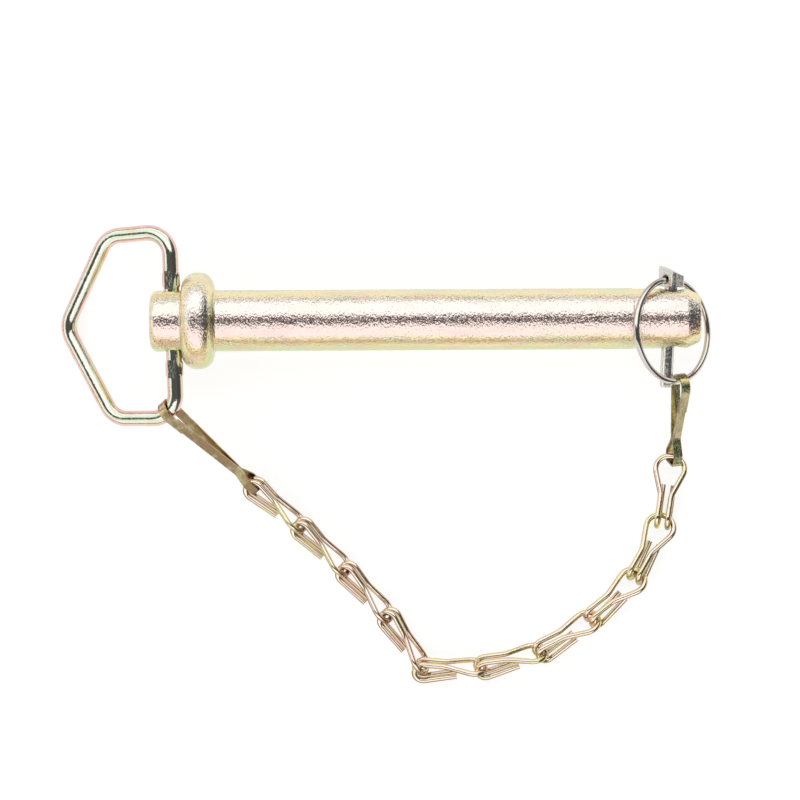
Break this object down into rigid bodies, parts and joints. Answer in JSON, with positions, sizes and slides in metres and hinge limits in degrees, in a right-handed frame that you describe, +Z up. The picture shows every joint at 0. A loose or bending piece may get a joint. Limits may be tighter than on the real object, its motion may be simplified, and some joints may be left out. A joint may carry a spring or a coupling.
{
  "type": "hitch pin",
  "caption": "Round hitch pin with a collar, a bent-wire swivel handle, and a linchpin with a snap ring, tethered to the handle by a chain of hooked wire links.",
  "frame": {"origin": "on the shank's axis, where the collar's rounded bearing face ends and the shank begins", "axes": "+X along the shank away from the collar, +Y towards the linchpin's head, +Z up as the pin lies on a floor on its collar's edge"},
  "size_m": [0.2038, 0.1438, 0.0303],
  "materials": {
    "plated_pin": "yellow zinc plated, semi-gloss",
    "handle_wire": "yellow zinc plated, gloss",
    "bright_linchpin": "bright zinc plated",
    "ring_wire": "bright zinc plated spring wire",
    "plated_strip": "yellow zinc plated strip",
    "chain_wire": "yellow zinc plated wire"
  },
  "bodies": {
    "pin_body": {"pin_body": "plated_pin"},
    "handle": {"handle": "handle_wire"},
    "linchpin": {"linchpin": "bright_linchpin"},
    "linchpin_ring": {"linchpin_ring": "ring_wire"},
    "left_clip": {"left_clip": "plated_strip"},
    "right_clip": {"right_clip": "plated_strip"},
    "link_01": {"link_01": "chain_wire"},
    "link_02": {"link_02": "chain_wire"},
    "link_03": {"link_03": "chain_wire"},
    "link_04": {"link_04": "chain_wire"},
    "link_05": {"link_05": "chain_wire"},
    "link_06": {"link_06": "chain_wire"},
    "link_07": {"link_07": "chain_wire"},
    "link_08": {"link_08": "chain_wire"},
    "link_09": {"link_09": "chain_wire"},
    "link_10": {"link_10": "chain_wire"}
  },
  "joints": [
    {"name": "handle_swivel", "type": "hinge", "parent": "pin_body", "child": "handle", "pos_m": [-0.013, 0, 0], "axis": [-0.0332, 0.9995, 0], "range_deg": [-135, 180]},
    {"name": "linchpin_pull", "type": "slide", "parent": "pin_body", "child": "linchpin", "axis": [0.0576, 0.9983, 0], "range_m": [0, 0.045]},
    {"name": "ring_swing", "type": "hinge", "parent": "linchpin", "child": "linchpin_ring", "pos_m": [0.14194, 0.01198, 0], "axis": [-0.7529, 0.0434, 0.6567], "range_deg": [0, 180]},
    {"name": "left_clip_swing", "type": "hinge", "parent": "handle", "child": "left_clip", "pos_m": [-0.01431, -0.02797, -0.00081], "axis": [-0.639, -0.7287, -0.2465], "range_deg": [-60, 60]},
    {"name": "right_clip_swing", "type": "hinge", "parent": "linchpin_ring", "child": "right_clip", "pos_m": [0.14483, -0.01938, -0.00004], "axis": [-0.732, -0.1828, 0.6563], "range_deg": [-60, 60]},
    {"name": "link_01_swing", "type": "hinge", "parent": "right_clip", "child": "link_01", "pos_m": [0.1428, -0.0431, -0.0114], "axis": [0.9771, -0.1442, 0.1564], "range_deg": [-30, 30]},
    {"name": "link_02_swing", "type": "hinge", "parent": "link_01", "child": "link_02", "pos_m": [0.1408, -0.062, -0.0112], "axis": [-0.8205, 0.4173, -0.3907], "range_deg": [-30, 75]},
    {"name": "link_03_swing", "type": "hinge", "parent": "link_02", "child": "link_03", "pos_m": [0.133, -0.0797, -0.0106], "axis": [0.516, -0.5813, 0.6291], "range_deg": [-90, 15]},
    {"name": "link_04_swing", "type": "hinge", "parent": "link_03", "child": "link_04", "pos_m": [0.119, -0.0933, -0.0109], "axis": [-0.3328, 0.5342, -0.7771], "range_deg": [-30, 75]},
    {"name": "link_10_swing", "type": "hinge", "parent": "left_clip", "child": "link_10", "pos_m": [0.01262, -0.05225, -0.01085], "axis": [-0.2765, -0.305, 0.9113], "range_deg": [-90, 90]},
    {"name": "link_09_swing", "type": "hinge", "parent": "link_10", "child": "link_09", "pos_m": [0.02685, -0.06526, -0.01015], "axis": [0.2765, 0.305, -0.9113], "range_deg": [-90, 90]},
    {"name": "link_08_swing", "type": "hinge", "parent": "link_09", "child": "link_08", "pos_m": [0.0407, -0.079, -0.0103], "axis": [-0.3403, -0.3453, 0.8746], "range_deg": [-90, 90]},
    {"name": "link_07_swing", "type": "hinge", "parent": "link_08", "child": "link_07", "pos_m": [0.0539, -0.0936, -0.0103], "axis": [0.3452, 0.3182, -0.8829], "range_deg": [-90, 90]},
    {"name": "link_06_swing", "type": "hinge", "parent": "link_07", "child": "link_06", "pos_m": [0.0649, -0.1098, -0.0102], "axis": [-0.3303, -0.2376, 0.9135], "range_deg": [-90, 45]},
    {"name": "link_05_swing", "type": "hinge", "parent": "link_06", "child": "link_05", "pos_m": [0.0838, -0.1091, -0.0099], "axis": [0.043, 0.4086, -0.9117], "range_deg": [-90, 45]}
  ],
  "couplings": [
    {"joint": "linchpin_pull", "follows": "ring_swing", "m_per_rad": 0.01432}
  ]
}
